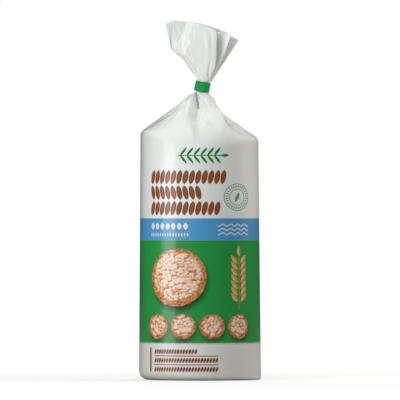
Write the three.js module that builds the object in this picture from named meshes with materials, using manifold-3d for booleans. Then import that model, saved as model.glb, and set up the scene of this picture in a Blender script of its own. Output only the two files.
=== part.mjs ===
// A shut pack of puffed rice cakes: a printed film bag round a stack of cakes, gathered above the stack
// into a narrow neck, closed by a band of tape, with the spare film standing open above the band as a ruff.
// Millimetres. +Z is up, the front of the pack faces -Y, and the origin is the middle of the underside.
import * as THREE from "three";
import { ParametricGeometry } from "three/addons/geometries/ParametricGeometry.js";
import { mergeVertices } from "three/addons/utils/BufferGeometryUtils.js";
import Module from "manifold-3d";

const wasm = await Module();
wasm.setup();

const { PI, sin, cos, abs, min, max, hypot, round, floor } = Math;
const radians = THREE.MathUtils.degToRad;
const mix = THREE.MathUtils.lerp;

// ---- Driving dimensions ----
const BASE_RADIUS = 48.8; // film round the lowest cake
const TOP_RADIUS = 47.1; // film round the top cake
const TOP_SHIFT = -0.5; // how far the stack leans to the left at its top
const STACK_HEIGHT = 195.6; // underside to the edge of the shoulder
const STACK_SLANT = 2.4; // the shoulder's edge is this much higher on the left and lower on the right
const BASE_EDGE = 4.5; // mean rounding of the bottom edge
const BASE_EDGE_SLANT = 2.8; // the left of that edge is rounder by this, the right sharper
const BASE_DISH = 1.2; // the middle of the underside is drawn in by this
const BASE_FLAT = [24, 30]; // radii where the dish ends and where the standing ring starts
const SHOULDER_ROUND = 7; // rounding of the shoulder's edge in front and behind
const SHOULDER_CREASE = 4; // how much of that rounding the sides lack
const THROAT_RADIUS = 10.6; // where the shoulder's cone turns up into the neck
const THROAT_HEIGHT = 222;
const THROAT_SLANT = 4.6; // the throat is this much higher on the left and lower on the right
const THROAT_SHARE = 0.83; // how much of the way from the shoulder's edge to the neck the throat lies
const NECK_CENTRE = new THREE.Vector3(1.9, 0, 234.2);
const NECK_TILT = new THREE.Euler(radians(5), radians(12), 0); // the neck leans to the right and a little back
const NECK_ROOT = 5.6; // half width of the gathered film just under the band
const NECK_MOUTH = 5.2; // and just above it
const NECK_GAP = 1.4; // how far from the band both of those are
const NECK_CORNER = 1.22; // how far the gathered film's corners reach, in half widths
const PLEAT_DEPTH = 0.9; // depth of the pleats in the gathered neck
const BAND_SIDE = 9.1; // the tape is wrapped into a square tube
const BAND_HEIGHT = 7.9;
const BAND_THICKNESS = 0.5;
const BAND_CORNER = 1.1;
const BAND_TURN = radians(-33); // turns one corner of the band to the front
const LAP_LENGTH = 5.6; // the tape's overlapping end
const LAP_PROUD = 0.4;
const CLEARANCE = 0.3;
const RUFF_WALL = 0.9; // thickness given to the film where both its sides show
const RUFF_FLOOR = 0.5; // how far up the ruff its hollow starts, as a share of its height
const MITRE_LIMIT = 0.08; // keeps the inner side of a very sharp fold from running far into the ruff
const RIM_HEIGHT = 285; // the ruff's rim where it crosses the middle of the pack
const RIM_SLOPE = -0.207; // and how it falls to the right
const RIM_CURVE = -0.0059;
const BACK_FOLDS = 7; // fold lines behind, between the two ends of the ruff
const BACK_DEPTH = 13.5; // how far back the ruff reaches
const BACK_PLEAT = 5; // and how deep each second fold behind is drawn in
const BACK_LIFT = { ridge: 2.1, valley: -1.9 }; // the shoulder's folds behind
const BACK_REACH = { ridge: 0.95, valley: 0.8 }; // how far out the rim lies there, as a share of its width
const SEAL_WIDTH = 11; // flat seal down the back
const SEAL_PROUD = 0.6;
const SEAL_ENDS = [9, 186];
const BASE_SEAL = [42, 9, 0.8]; // length, width and thickness of the folded seal under the base
const COLUMNS_A_PANEL = 5;

// ---- Fold lines ----
// From the left of the pack round its front to its right. Each line crosses the shoulder's edge, the
// shoulder's middle and the neck at angles in degrees from the front, and stands out of the shoulder by a
// lift, which peaks nearer the neck the greater near is. Above the band it starts at the angle mouth and
// runs through path to the rim, as points [right, back, up]. soft is how roundly the film turns at the
// line, 0 for a sharp crease and 0.5 for a full curve, on the shoulder and in the ruff, and how roundly
// the line itself turns at the points of its path.
const FRONT_FOLDS = [
  { edge: -100, middle: -99, neck: -98, lift: 1.4, near: 1, mouth: -100,
    path: [[-8.8, 0.5, 248.2], [-13.4, 1, 256.6], [-23.1, 1.5, 264]], rim: [-27.7, 2, 284.3],
    soft: [0.3, 0.1, 0.05] },
  { edge: -78, middle: -68, neck: -86, lift: -3.4, near: 2.6, mouth: -82,
    path: [[-8.2, -2, 248.6], [-13, -3, 257], [-22.7, -2.6, 263.9]], rim: [-20.8, -9, 286.9],
    soft: [0.2, 0.1, 0.08] },
  { edge: -50, middle: -46, neck: -72, lift: 1.8, near: 1.6, mouth: -62,
    path: [[-6.2, -5.4, 249.8], [-11.5, -7.6, 258], [-20.6, -5.6, 264.8]], rim: [-11.2, -8, 286],
    soft: [0.5, 0.2, 0.16] },
  { edge: -6, middle: -24, neck: -58, lift: 2.8, near: 1.6, mouth: -30,
    path: [[-6.6, -12.4, 262]], rim: [-3, -15.5, 284.4], soft: [0.12, 0.4, 0.3] },
  { edge: 4, middle: -6, neck: -38, lift: -3, near: 3.2, mouth: 8,
    path: [[6.8, -12.6, 260]], rim: [6.4, -14.8, 282.3], soft: [0.15, 0.3, 0.3] },
  { edge: 13, middle: 6, neck: -10, lift: 0.8, near: 1.6, mouth: 48,
    path: [[12.6, -7.6, 247.5]], rim: [13.7, -12.4, 278.4], soft: [0.3, 0.04, 0.12] },
  { edge: 20, middle: 15, neck: 14, lift: 1, near: 1, mouth: 56,
    path: [[11, -3, 250]], rim: [8.6, -3.4, 279.2], soft: [0.5, 0.08, 0.12] },
  { edge: 27, middle: 24, neck: 38, lift: 2, near: 1, mouth: 64,
    path: [[14, -3.4, 251], [16.9, -5, 258.5]], rim: [15.5, -6.8, 276.8], soft: [0.5, 0.08, 0.08] },
  { edge: 35, middle: 33, neck: 60, lift: 3.6, near: 1.1, mouth: 72,
    path: [[15.4, -3.4, 251.5], [19.2, -5, 259.5]], rim: [25, -6.8, 275.8], soft: [0.08, 0.05, 0.08] },
  { edge: 52, middle: 50, neck: 72, lift: -2, near: 1, mouth: 80,
    path: [[13.6, -0.4, 250.5], [16.6, 0, 259]], rim: [21, 0, 275.8], soft: [0.3, 0.15, 0.08] },
  { edge: 74, middle: 76, neck: 86, lift: 1, near: 1, mouth: 92,
    path: [], rim: [31.3, 2, 271.3], soft: [0.4, 0.05, 0.05] },
];

const rimHeight = (x) => RIM_HEIGHT + RIM_SLOPE * x + RIM_CURVE * x * x;

// The folds behind, evenly spaced from the front's last fold on to its first: valleys and ridges by turns.
function backFold(index) {
  const [first, last] = [FRONT_FOLDS.at(-1), FRONT_FOLDS[0]];
  const share = (index + 1) / (BACK_FOLDS + 1);
  const kind = index % 2 === 0 ? "valley" : "ridge";
  const turn = (key) => mix(first[key], last[key] + 360, share);
  const x = mix(first.rim[0], last.rim[0], share) * BACK_REACH[kind];
  const depth = BACK_DEPTH * sin(PI * share) ** 0.6 - (kind === "valley" ? BACK_PLEAT : 0);
  return {
    edge: turn("edge"), middle: turn("middle"), neck: turn("neck"), lift: BACK_LIFT[kind], near: 1,
    mouth: turn("mouth"), path: [], rim: [x, depth, rimHeight(x)],
    soft: kind === "valley" ? [0.4, 0.25, 0.1] : [0.25, 0.12, 0.1],
  };
}

const FOLDS = [...FRONT_FOLDS, ...Array.from({ length: BACK_FOLDS }, (_, index) => backFold(index))];
const COLUMNS = FOLDS.length * COLUMNS_A_PANEL;

// A fold's neighbour, with its angles carried on past a full turn.
function fold(index) {
  const turns = floor(index / FOLDS.length);
  const own = FOLDS[index - turns * FOLDS.length];
  const turn = (key) => radians(own[key] + 360 * turns);
  return { ...own, edge: turn("edge"), middle: turn("middle"), neck: turn("neck"), mouth: turn("mouth") };
}

// A line through points placed at knots, straight between them and rounded within a width of each.
function bentLine(points, knots, widths, t) {
  const slope = (j) => {
    const length = knots[j + 1] - knots[j];
    return points[j + 1].map((value, axis) => (value - points[j][axis]) / length);
  };
  let span = 0;
  while (span < points.length - 2 && t > knots[span + 1]) span += 1;
  const along = slope(span);
  const place = points[span].map((value, axis) => value + along[axis] * (t - knots[span]));
  for (let j = 1; j < points.length - 1; j++) {
    const bend = max(widths[j] - abs(t - knots[j]), 0) ** 2 / (4 * widths[j]);
    const [before, after] = [slope(j - 1), slope(j)];
    place.forEach((value, axis) => { place[axis] = value + (after[axis] - before[axis]) * bend; });
  }
  return place;
}

// The film between fold lines. at(index) gives a fold's numbers, and soft(index) its roundness.
function across(column, at, soft) {
  const left = floor(column / COLUMNS_A_PANEL);
  const around = [left - 1, left, left + 1, left + 2];
  return bentLine(around.map(at), around, around.map((i) => max(soft(i), 1e-3)), column / COLUMNS_A_PANEL);
}

// A point at an angle round the pack from its front.
function polar(angle, radius, z, shift = 0) {
  return new THREE.Vector3(shift + radius * sin(angle), -radius * cos(angle), z);
}

const edgeAngle = (column) => across(column, (i) => [fold(i).edge], () => 0)[0];
const edgeHeight = (angle) => STACK_HEIGHT - STACK_SLANT * sin(angle);

function bodyPoint(angle, z) {
  const share = z / STACK_HEIGHT;
  return polar(angle, mix(BASE_RADIUS, TOP_RADIUS, share), z, TOP_SHIFT * share);
}

// The gathered neck: a square bundle with a pleat at each valley, in the band's tilted frame.
function neckPoint(angle, halfSide, height, pleat) {
  const turned = angle - BAND_TURN;
  const squareRadius = halfSide / max(abs(cos(turned)), abs(sin(turned)));
  const radius = min(squareRadius, NECK_CORNER * halfSide) - pleat;
  return polar(angle, radius, height).applyEuler(NECK_TILT).add(NECK_CENTRE);
}

const pleatAt = (index) => (fold(index).lift < 0 ? PLEAT_DEPTH : 0);
const neckRow = (halfSide, height, twist) => (column) => {
  const at = (index) => [mix(fold(index).neck, fold(index).mouth, twist), pleatAt(index)];
  const [angle, pleat] = across(column, at, () => 0.2);
  return neckPoint(angle, halfSide, height, pleat);
};

// The shoulder: from the stack's edge (s = 0) up a cone to the throat, and on to the neck's root (s = 1).
// Each fold line is lifted square to the cone.
const SHOULDER_LENGTH = hypot(TOP_RADIUS - THROAT_RADIUS, THROAT_HEIGHT - STACK_HEIGHT) / THROAT_SHARE;
const ROOT = neckPoint(0, 0, -BAND_HEIGHT / 2 - NECK_GAP, 0);

function shoulderPoint(column, s) {
  const [angle, lift] = across(column, (i) => {
    const f = fold(i);
    const turn = bentLine([[f.edge], [f.middle], [f.neck]], [0, 0.5, 1], [0, 0.3, 0], s)[0];
    return [turn, f.lift * sin(PI * s ** f.near) ** 0.8];
  }, (i) => fold(i).soft[0]);
  const [radius, z, shift] = bentLine([
    [TOP_RADIUS, edgeHeight(angle), TOP_SHIFT],
    [THROAT_RADIUS, THROAT_HEIGHT - THROAT_SLANT * sin(angle), mix(TOP_SHIFT, ROOT.x, THROAT_SHARE)],
    [NECK_ROOT, ROOT.z, ROOT.x],
  ], [0, THROAT_SHARE, 1], [0, 0.08, 0], s);
  const [run, rise] = [TOP_RADIUS - THROAT_RADIUS, THROAT_HEIGHT - STACK_HEIGHT];
  const off = lift / hypot(run, rise);
  return polar(angle, radius + off * rise, z + off * run, shift);
}

// The ruff: each fold line rises from the neck's mouth, along its path, to the rim (t = 1).
function ruffLine(index, t) {
  const f = fold(index);
  const mouth = neckPoint(f.mouth, NECK_MOUTH, BAND_HEIGHT / 2 + NECK_GAP, pleatAt(index)).toArray();
  const points = [mouth, ...f.path, f.rim];
  const reached = [0];
  for (let j = 1; j < points.length; j++) {
    reached.push(reached[j - 1] + hypot(...points[j].map((value, axis) => value - points[j - 1][axis])));
  }
  const knots = reached.map((length) => length / reached.at(-1));
  return bentLine(points, knots, knots.map(() => f.soft[2]), t);
}
const ruffSoft = (index) => fold(index).soft[1];
const ruffPoint = (column, t) => new THREE.Vector3(...across(column, (i) => ruffLine(i, t), ruffSoft));

// The ruff's inner side: each fold line moved in, square to the film on both sides of it.
function insideLine(index, t) {
  const [before, here, after] = [-1, 0, 1].map((step) => ruffLine(index + step, t));
  const inwards = [[before, here], [here, after]].map(([from, to]) => {
    const [x, y] = [to[0] - from[0], to[1] - from[1]];
    return [-y / hypot(x, y), x / hypot(x, y)];
  });
  const turn = 1 + inwards[0][0] * inwards[1][0] + inwards[0][1] * inwards[1][1];
  const reach = RUFF_WALL / max(turn, MITRE_LIMIT);
  return [0, 1].map((axis) => here[axis] + (inwards[0][axis] + inwards[1][axis]) * reach).concat(here[2]);
}
const insidePoint = (column, t) => new THREE.Vector3(...across(column, (i) => insideLine(i, t), ruffSoft));

// ---- The bag: rows of points from the middle of the underside up to the rim, and down inside the ruff ----
const rows = [];
const row = (point) => rows.push(point);
const quarter = [0, 1, 2, 3, 4].map((step) => step / 4);
const edgeRadius = (angle) => BASE_EDGE - BASE_EDGE_SLANT * sin(angle);

row(() => new THREE.Vector3(0, 0, BASE_DISH));
for (const share of [0.5, 1]) row((c) => polar(edgeAngle(c), BASE_FLAT[0] * share, BASE_DISH));
row((c) => polar(edgeAngle(c), BASE_FLAT[1], 0));
for (const share of quarter) {
  row((c) => {
    const angle = edgeAngle(c);
    const turn = (PI / 2) * share;
    const r = edgeRadius(angle);
    return polar(angle, BASE_RADIUS - r + r * sin(turn), r * (1 - cos(turn)));
  });
}
for (const z of [20, 80, 140]) row((c) => bodyPoint(edgeAngle(c), z));
for (const share of quarter) {
  row((c) => {
    const angle = edgeAngle(c);
    const reach = SHOULDER_ROUND - SHOULDER_CREASE * abs(sin(angle));
    const corner = bodyPoint(angle, edgeHeight(angle));
    const below = bodyPoint(angle, edgeHeight(angle) - reach);
    const above = shoulderPoint(c, reach / SHOULDER_LENGTH);
    return below.lerp(corner, share).lerp(corner.lerp(above, share), share);
  });
}
for (const s of [0.22, 0.32, 0.42, 0.52, 0.62, 0.71, 0.78, 0.84, 0.9, 0.95, 1]) row((c) => shoulderPoint(c, s));
const INSIDE_BAND = BAND_SIDE / 2 - BAND_THICKNESS - CLEARANCE;
row(neckRow(INSIDE_BAND, -BAND_HEIGHT / 2 - CLEARANCE, 0));
row(neckRow(INSIDE_BAND, 0, 0.5));
row(neckRow(INSIDE_BAND, BAND_HEIGHT / 2 + CLEARANCE, 1));
const RUFF_STEPS = [0, 0.07, 0.14, 0.22, 0.3, 0.38, 0.46, 0.54, 0.62, 0.74, 0.87, 1];
for (const t of RUFF_STEPS) row((c) => ruffPoint(c, t));
for (const t of RUFF_STEPS.filter((step) => step > RUFF_FLOOR).reverse()) row((c) => insidePoint(c, t));
row(ruffCentre);

function ruffCentre() {
  const ring = FOLDS.map((_, index) => ruffLine(index, RUFF_FLOOR));
  return new THREE.Vector3(...[0, 1, 2].map((axis) => ring.reduce((sum, p) => sum + p[axis], 0) / ring.length));
}

const filmGeometry = new ParametricGeometry((u, v, target) => {
  target.copy(rows[round(v * (rows.length - 1))](round(u * COLUMNS) % COLUMNS));
}, COLUMNS, rows.length - 1);

// ---- Solids joined with manifold-3d ----
function toSolid(geometry) {
  const bare = new THREE.BufferGeometry().setAttribute("position", geometry.getAttribute("position"));
  bare.setIndex(geometry.index);
  const merged = mergeVertices(bare, 1e-3);
  return new wasm.Manifold(new wasm.Mesh({
    numProp: 3,
    vertProperties: merged.attributes.position.array,
    triVerts: new Uint32Array(merged.index.array),
  }));
}

function toGeometry(solid) {
  const mesh = solid.getMesh();
  const positions = new Float32Array(mesh.numVert * 3);
  for (let i = 0; i < mesh.numVert; i++) {
    positions.set(mesh.vertProperties.subarray(i * mesh.numProp, i * mesh.numProp + 3), i * 3);
  }
  const geometry = new THREE.BufferGeometry().setAttribute("position", new THREE.BufferAttribute(positions, 3));
  geometry.setIndex(new THREE.BufferAttribute(mesh.triVerts, 1));
  geometry.computeVertexNormals();
  return geometry;
}

// The seal down the back: a strip that lies on the film and is sunk into it by a few of its thicknesses.
function backSeal() {
  const half = SEAL_WIDTH / 2 / BASE_RADIUS;
  const outer = TOP_RADIUS + SEAL_PROUD;
  const inner = outer - 4 * SEAL_PROUD;
  const shape = new THREE.Shape();
  shape.absarc(0, 0, outer, PI / 2 - half, PI / 2 + half, false);
  shape.absarc(0, 0, inner, PI / 2 + half, PI / 2 - half, true);
  const strip = new THREE.ExtrudeGeometry(shape, {
    depth: SEAL_ENDS[1] - SEAL_ENDS[0], bevelEnabled: false, curveSegments: 4,
  });
  const spread = (BASE_RADIUS - TOP_RADIUS) / STACK_HEIGHT;
  const place = strip.getAttribute("position");
  for (let i = 0; i < place.count; i++) {
    const z = place.getZ(i) + SEAL_ENDS[0];
    const grow = 1 + (spread * (STACK_HEIGHT - z)) / TOP_RADIUS;
    place.setXYZ(i, place.getX(i) * grow + (TOP_SHIFT * z) / STACK_HEIGHT, place.getY(i) * grow, z);
  }
  return strip;
}

// The folded seal under the base, which lies in the dish and is sunk into it by its own thickness.
function baseSeal() {
  const [length, width, thickness] = BASE_SEAL;
  return new THREE.BoxGeometry(length, width, 2 * thickness).translate(0, 0, BASE_DISH);
}

const bagSolid = toSolid(filmGeometry).add(toSolid(backSeal())).add(toSolid(baseSeal()));

// ---- The band: tape wrapped round the neck into a square tube, with its end lapped over at the back ----
function roundedSquare(half, corner, Path) {
  const path = new Path();
  for (let side = 0; side < 4; side++) {
    const start = (side * PI) / 2;
    const reach = (half - corner) * Math.SQRT2;
    path.absarc(reach * cos(start + PI / 4), reach * sin(start + PI / 4), corner, start, start + PI / 2, false);
  }
  path.closePath();
  return path;
}

function bandTube() {
  const shape = roundedSquare(BAND_SIDE / 2, BAND_CORNER, THREE.Shape);
  shape.holes.push(roundedSquare(BAND_SIDE / 2 - BAND_THICKNESS, BAND_CORNER - BAND_THICKNESS, THREE.Path));
  return new THREE.ExtrudeGeometry(shape, { depth: BAND_HEIGHT, bevelEnabled: false, curveSegments: 5 })
    .translate(0, 0, -BAND_HEIGHT / 2);
}

function bandLap() {
  return new THREE.BoxGeometry(LAP_LENGTH, 2 * LAP_PROUD, BAND_HEIGHT - 2 * LAP_PROUD)
    .translate(0, BAND_SIDE / 2, 0);
}

const film = new THREE.MeshStandardMaterial({ color: 0xe6ebe8, roughness: 0.42, metalness: 0 });
const tape = new THREE.MeshStandardMaterial({ color: 0x1b944c, roughness: 0.5, metalness: 0 });

const bag = new THREE.Mesh(toGeometry(bagSolid), film);
bag.name = "film_bag";

const band = new THREE.Mesh(toGeometry(toSolid(bandTube()).add(toSolid(bandLap()))), tape);
band.name = "neck_band";
band.rotation.z = BAND_TURN;

const neck = new THREE.Group();
neck.position.copy(NECK_CENTRE);
neck.rotation.copy(NECK_TILT);
neck.add(band);

const pack = new THREE.Group();
pack.add(bag, neck);

export default pack;
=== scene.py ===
"""A shut pack of puffed rice cakes: printed film round a stack, gathered into a taped neck under a ruff.

Metres. +Z is up, the front of the pack faces -Y, and the origin is the middle of the underside. Angles round
the pack are radians from its front, growing to its right.
"""
from collections import namedtuple
from math import cos, dist, hypot, pi, radians, sin

import bpy
import numpy as np
from bpy.props import FloatProperty, FloatVectorProperty, IntProperty, PointerProperty
from bpy.types import Operator, Panel, PropertyGroup
from mathutils import Matrix, Vector


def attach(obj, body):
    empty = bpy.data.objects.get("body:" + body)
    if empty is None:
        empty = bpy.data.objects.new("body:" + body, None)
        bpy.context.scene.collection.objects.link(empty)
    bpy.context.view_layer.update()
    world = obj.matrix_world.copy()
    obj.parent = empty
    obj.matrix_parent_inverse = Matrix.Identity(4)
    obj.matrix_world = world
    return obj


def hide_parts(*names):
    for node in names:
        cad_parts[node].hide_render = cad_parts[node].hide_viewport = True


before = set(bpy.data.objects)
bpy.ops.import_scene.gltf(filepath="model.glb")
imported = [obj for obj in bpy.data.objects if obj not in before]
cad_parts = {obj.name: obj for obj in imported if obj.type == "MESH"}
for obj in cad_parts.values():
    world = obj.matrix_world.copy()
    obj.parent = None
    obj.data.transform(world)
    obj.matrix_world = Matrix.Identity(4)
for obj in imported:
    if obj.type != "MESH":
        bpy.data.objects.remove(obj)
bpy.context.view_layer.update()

bl_info = {
    "name": "Rice Cake Pack",
    "version": (1, 0, 0),
    "blender": (4, 5, 0),
    "location": "View3D > Sidebar > Pack",
    "description": "Builds a shut film pack of puffed rice cakes with its printed film, seals and taped neck",
    "category": "Object",
}

MM = 0.001
BODY = "root"


# ---- Sizes and colours that can be changed ----

def length(name, description, value):
    return FloatProperty(name=name, description=description, default=value, unit="LENGTH", subtype="DISTANCE",
                         precision=5)


def share(name, description, value):
    return FloatProperty(name=name, description=description, default=value, precision=3)


def colour(name, description, value):
    return FloatVectorProperty(name=name, description=description, default=value, subtype="COLOR", size=3,
                               min=0.0, max=1.0)


class PackFilm(PropertyGroup):
    """Sizes of the film round the stack, its shoulder, neck and ruff."""
    base_radius: length("Base Radius", "Film round the lowest cake", 48.8 * MM)
    top_radius: length("Top Radius", "Film round the top cake", 47.1 * MM)
    top_shift: length("Top Shift", "How far the stack's top stands to the right of its base", -0.5 * MM)
    stack_height: length("Stack Height", "Underside to the edge of the shoulder", 195.6 * MM)
    stack_slant: length("Stack Slant", "How much higher the shoulder's edge is on the left", 2.4 * MM)
    base_edge: length("Base Edge", "Mean rounding of the bottom edge", 4.5 * MM)
    base_edge_slant: length("Base Edge Slant", "How much rounder that edge is on the left", 2.8 * MM)
    base_dish: length("Base Dish", "How far the middle of the underside is drawn in", 1.2 * MM)
    shoulder_round: length("Shoulder Rounding", "Rounding of the shoulder's edge, front and back", 16 * MM)
    throat_radius: length("Throat Radius", "Where the shoulder turns up into the neck", 10.6 * MM)
    throat_height: length("Throat Height", "Height of that turn", 222 * MM)
    wall: length("Film Wall", "Distance between the ruff's two faces", 0.25 * MM)
    rib_pitch: length("Rib Pitch", "Thickness of one cake in the stack", 9.31 * MM)
    rib_depth: length("Rib Depth", "How far the film sinks between two cakes", 0.06 * MM)
    crumple_depth: length("Crumple Depth", "Height of the small creases in the loose film", 0.42 * MM)
    pleat_depth: length("Pleat Depth", "Depth of the fine pleats next to the band", 0.55 * MM)
    pleat_count: IntProperty(name="Pleat Count", description="Fine pleats round the neck", default=17, min=3)


class PackSeals(PropertyGroup):
    """Sizes of the pressed seals down the back and under the base."""
    width: length("Back Seal Width", "Width of the seal down the back", 11 * MM)
    thickness: length("Seal Thickness", "How far a seal stands out of the film", 0.6 * MM)
    low_end: length("Low End", "Height where the back seal starts", 9 * MM)
    high_end: length("High End", "Height where the back seal ends", 186 * MM)
    crimp_pitch: length("Crimp Pitch", "Distance between two pressed lines", 1.8 * MM)
    crimp_depth: length("Crimp Depth", "Depth of a pressed line", 0.2 * MM)
    base_length: length("Base Seal Length", "Length of the seal under the base", 42 * MM)
    base_width: length("Base Seal Width", "Width of the seal under the base", 9 * MM)


class PackTape(PropertyGroup):
    """Sizes of the tape wound round the neck."""
    side: length("Band Side", "Outer side of the square that the tape is wound into", 9.3 * MM)
    height: length("Tape Width", "Width of the tape", 7.9 * MM)
    thickness: length("Tape Thickness", "Thickness of one turn of the tape", 0.36 * MM)
    corner: length("Corner Radius", "Radius of the band's corners", 0.7 * MM)
    lap: length("Lap Length", "How much of the back is covered by the tape's lapped end", 5.6 * MM)


class PackColours(PropertyGroup):
    """Colours of the film's print, of the tape, and a lighter painted-light white for the upper film."""
    film: colour("Film White", "Unprinted film", (0.855, 0.89, 0.862))
    # Painted light: a lighter copy of the film's white, standing for light shining through the thin film
    # higher up.
    lit_white: colour("Lit White", "Film above the print, in the shoulder, neck and ruff", (0.95, 0.985, 0.957))
    foot: colour("Foot White", "White field at the foot of the print", (0.86, 0.855, 0.825))
    blue: colour("Blue", "Narrow band of the print", (0.085, 0.35, 0.68))
    green: colour("Green", "Wide field of the print", (0.016, 0.33, 0.058))
    leaf: colour("Leaf Green", "Sprig and ring", (0.012, 0.28, 0.05))
    brown: colour("Brown", "Rows of grains and rules", (0.27, 0.08, 0.026))
    cream: colour("Cream", "Lightest of the puffed grains", (0.99, 0.845, 0.70))
    tan: colour("Tan", "Toasted puffed grains", (0.84, 0.35, 0.085))
    toast: colour("Toast", "Gaps between the grains and toasted edges", (0.40, 0.115, 0.02))
    tape: colour("Tape", "Tape round the neck", (0.006, 0.34, 0.07))


class PackStage(PropertyGroup):
    """Camera distance and the strength of the lights."""
    camera_distance: length("Camera Distance", "From the camera to the pack's axis", 7.11)
    lens: share("Lens", "Focal length in millimetres", 800.0)
    near: share("Near Light", "Power of the upright light close to the left of the front", 0.77)
    edge: share("Edge Light", "Power of the upright light close to the right", 1.13)
    edge_tint: colour("Edge Tint", "Colour of the edge light", (1.0, 0.94, 0.85))
    sheen: share("Sheen Light", "Power of the light that the film mirrors", 5.3)
    front: share("Front Light", "Power of the broad light high in front", 5.8)
    low: share("Low Light", "Power of the light low in front", 0.4)
    top: share("Top Light", "Power of the light overhead", 12.4)
    back: share("Back Light", "Power of the light behind", 14.0)
    ambient: share("Ambient", "Brightness of the surroundings as a light", 0.03)


# ---- Fold lines of the film ----
# From the left of the pack round its front to its right, in degrees and millimetres. Each line crosses the
# shoulder's edge, its middle and the neck at angles from the front, and stands out of the shoulder by a lift,
# which peaks nearer the neck the greater near is. Above the band it starts at the angle mouth and goes along
# path to the rim. soft is how roundly the film turns at the line, on the shoulder and in the ruff, and how
# roundly the line itself turns at the points of its path.
Fold = namedtuple("Fold", "edge middle neck lift near mouth path rim soft")
FRONT_FOLDS = [
    Fold(-100, -99, -98, -0.1, 1, -100, [(-8.8, 0.5, 248.2), (-13.4, 1, 256.6), (-23.1, 1.5, 264)],
         (-27.7, 2, 284.3), (0.3, 0.1, 0.05)),
    Fold(-78, -68, -86, -5, 2.2, -82, [(-8.2, -2, 248.6), (-13, -3, 257), (-22.7, -2.6, 263.9)],
         (-20.8, -9, 286.9), (0.14, 0.06, 0.08)),
    Fold(-50, -46, -72, 1.8, 1.6, -62, [(-6.2, -5.4, 249.8), (-11.5, -7.6, 258), (-20.6, -5.6, 264.8)],
         (-9.6, -7.2, 286), (0.4, 0.1, 0.12)),
    Fold(-6, -25, -50, 3.2, 1.4, -30, [(-6.6, -10.4, 262)], (-3, -12, 284.4), (0.08, 0.4, 0.3)),
    Fold(-4, -2, -18, -4.6, 2.6, 8, [(5.2, -12, 260)], (4.8, -13.4, 282.3), (0.1, 0.12, 0.3)),
    Fold(13, 6, -10, -1.8, 2.2, 48, [(12.6, -11, 249.5)], (13.7, -16, 278.4), (0.25, 0.03, 0.1)),
    Fold(20, 15, 14, -0.2, 1.6, 56, [(10.4, -0.6, 250)], (8.6, 0.6, 279.2), (0.5, 0.08, 0.12)),
    Fold(26, 23, 38, 2.4, 1.4, 64, [(14, -2.4, 251), (17.1, -3.6, 258.5)],
         (15.7, -4.4, 276.8), (0.4, 0.05, 0.08)),
    Fold(34.5, 34.5, 66, 4.8, 1.4, 72, [(15.6, -4.8, 251.5), (19.4, -7.2, 259.5)],
         (25, -9.4, 275.8), (0.06, 0.04, 0.08)),
    Fold(52, 50, 72, -2.2, 1, 80, [(13.6, -0.2, 250.5), (16.7, 0, 259)], (20.5, 0, 275.8), (0.25, 0.1, 0.08)),
    Fold(74, 76, 86, 0.2, 1, 92, [], (31.3, 0.4, 271.3), (0.4, 0.05, 0.05)),
]
# Creases in front, in millimetres: points as x and height, how far the film comes forward there, and how far
# to the left and to the right of the line it takes to lie flat again.
Crease = namedtuple("Crease", "points push left right")
CREASES = [
    Crease([(-3.1, 228), (-1.2, 217)], -4.2, 1.1, 0.9),
    Crease([(-1.2, 217), (-3.4, 207)], -0.8, 3.5, 1.2),
    Crease([(-0.6, 226), (0, 220)], -2, 0.6, 0.8),
    Crease([(-7.2, 226), (-10.4, 214.8), (-12, 207.6), (-5.4, 197)], 1.9, 1.9, 5.4),
    Crease([(-10.4, 221.4), (-13.6, 219.6), (-19, 217.6)], -1.8, 0.9, 3.6),
    Crease([(3.2, 223), (7.4, 214)], -0.5, 0.8, 2),
    Crease([(21.6, 200.8), (31, 194.4)], -0.8, 1.2, 2.4),
    Crease([(6, 187.4), (30, 185.6)], 0.35, 2, 4),
    Crease([(-25.6, 203), (-26.4, 184)], 0.55, 9, 2),
    Crease([(-17, 198), (-6, 190.6)], 0.4, 2, 5),
    Crease([(8.4, 253.4), (6.6, 243.6)], -1, 0.9, 1),
    Crease([(-8.6, 252), (-3, 244.4)], -0.8, 0.8, 1.8),
    Crease([(5.2, 277), (7, 262), (5, 250)], 0.65, 3.2, 2.4),
    Crease([(-16, 279), (-8, 270), (-13, 259)], 0.55, 1.6, 5),
    Crease([(-3, 283), (0.5, 268), (-4, 256)], -0.3, 4, 1.8),
]
# Folds behind: how many, how far back the rim stands in the middle, and how much less far in a valley.
BACK_FOLDS = 7
BACK_DEPTH = 13.5
BACK_PLEAT = 5
# Where the shoulder turns up into the neck: how much lower on the right, at what share of the way from the
# shoulder's edge to the neck, and over what share it bends.
THROAT_SLANT = 4.6 * MM
THROAT_SHARE = 0.83
THROAT_BEND = 0.08
# How far the film puffs out on the right under the band, and at what share of that way it starts.
NECK_PUFF = 2.5 * MM
PUFF_START = 0.76
# Rounding of the shoulder's edge at the sides, and where the underside's dish runs out into its flat ring.
SHOULDER_SIDE = 3 * MM
BASE_FLAT = (24 * MM, 30 * MM)
# The gathered neck: its middle and tilt, half its side just below and just above the band, how far those are
# from the band, how square it is, and how deep its pleats.
NECK_CENTRE = np.array((1.9, 0, 234.2)) * MM
NECK_TILT = np.array(Matrix.Rotation(radians(5), 3, "X") @ Matrix.Rotation(radians(12), 3, "Y"))
NECK_ROOT = 5.6 * MM
NECK_MOUTH = 5.2 * MM
NECK_GAP = 1.4 * MM
NECK_CORNER = 1.22
NECK_PLEAT = 0.9 * MM
# The band: its turn about its own axis, the room inside it for the film, and its wall.
BAND_TURN = radians(-33)
BAND_CLEARANCE = 0.3 * MM
BAND_WALL = 0.5 * MM
# The tape: the longest step of its path, and how the lapped end climbs over the start.
TAPE_STEP = 0.35 * MM
LAP_RAMP = 1.6 * MM
LAP_GAP = 0.06 * MM
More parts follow.
